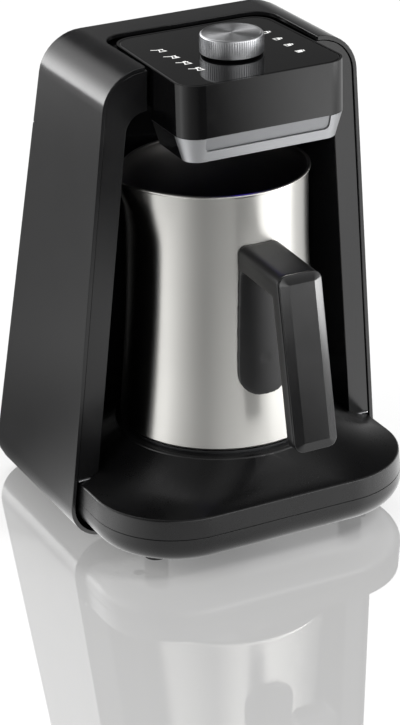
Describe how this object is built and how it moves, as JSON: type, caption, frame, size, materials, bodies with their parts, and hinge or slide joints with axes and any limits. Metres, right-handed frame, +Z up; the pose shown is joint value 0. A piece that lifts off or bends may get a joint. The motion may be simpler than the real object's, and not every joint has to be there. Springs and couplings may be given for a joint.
{
  "type": "electric turkish coffee maker",
  "caption": "Electric Turkish coffee maker: leaning sleeve-shaped case with an open bay, heated plinth, control head with a turning and pressing knob, and a lift-out steel pot.",
  "frame": {"origin": "centre of the whole appliance's footprint, with the pot in place, on the table the feet stand on", "axes": "+Z up; -Y is the front, where the pot's handle points; +X is to the right of someone facing the rear from the front"},
  "size_m": [0.192, 0.219, 0.2854],
  "materials": {
    "shell_paint": "satin anthracite",
    "housing_plastic": "satin black",
    "base_plastic": "satin black",
    "rubber": "matt",
    "head_gloss": "high gloss black",
    "panel_glass": "polished, printed from behind",
    "trim_metal": "satin",
    "knob_metal": "spun top, knurled side",
    "pot_steel": "brushed around",
    "heater_metal": "satin",
    "handle_plastic": "satin dark grey",
    "cover_plastic": "satin gloss grey",
    "sensor_window": "smoked",
    "circuit_board": "solder mask",
    "component_black": "moulded",
    "component_blue": "moulded",
    "zinc": "plated",
    "ceramic": "ceramic body"
  },
  "bodies": {
    "machine": {"outer_shell": "shell_paint", "inner_housing": "housing_plastic", "rear_cover": "housing_plastic", "rear_cap": "housing_plastic", "base_top": "base_plastic", "base_tray": "base_plastic", "feet": "rubber", "heater_plate": "heater_metal", "heater_seal": "rubber", "heater_element": "zinc", "thermostat": "ceramic", "temp_sensor": "zinc", "head_shell": "head_gloss", "touch_panel": "panel_glass", "trim_frame": "trim_metal", "trim_plate": "trim_metal", "head_underside": "housing_plastic", "sensor_window": "sensor_window", "foam_sensor": "circuit_board", "control_board": "circuit_board", "encoder_body": "zinc", "buzzer": "component_black", "power_board": "circuit_board", "relay": "component_blue", "power_module": "component_black", "cord_inlet": "rubber", "case_screws": "zinc"},
    "plunger": {"encoder_plunger": "zinc"},
    "knob": {"knob": "knob_metal", "knob_hub": "component_black", "encoder_shaft": "zinc"},
    "pot": {"pot_body": "pot_steel", "pot_base": "pot_steel", "handle_studs": "zinc", "handle_body": "handle_plastic", "handle_cover": "cover_plastic"}
  },
  "joints": [
    {"name": "knob_press", "type": "slide", "parent": "machine", "child": "plunger", "axis": [0, 0, -1], "range_m": [0, 0.0007], "stiffness_N_per_m": 3500, "springref_m": -0.0006},
    {"name": "knob_turn", "type": "hinge", "parent": "plunger", "child": "knob", "pos_m": [0, -0.01945, 0.28], "axis": [0, 0, 1], "continuous": true},
    {"name": "pot_out", "type": "slide", "parent": "machine", "child": "pot", "axis": [0, -1, 0], "range_m": [0, 0.16]}
  ]
}
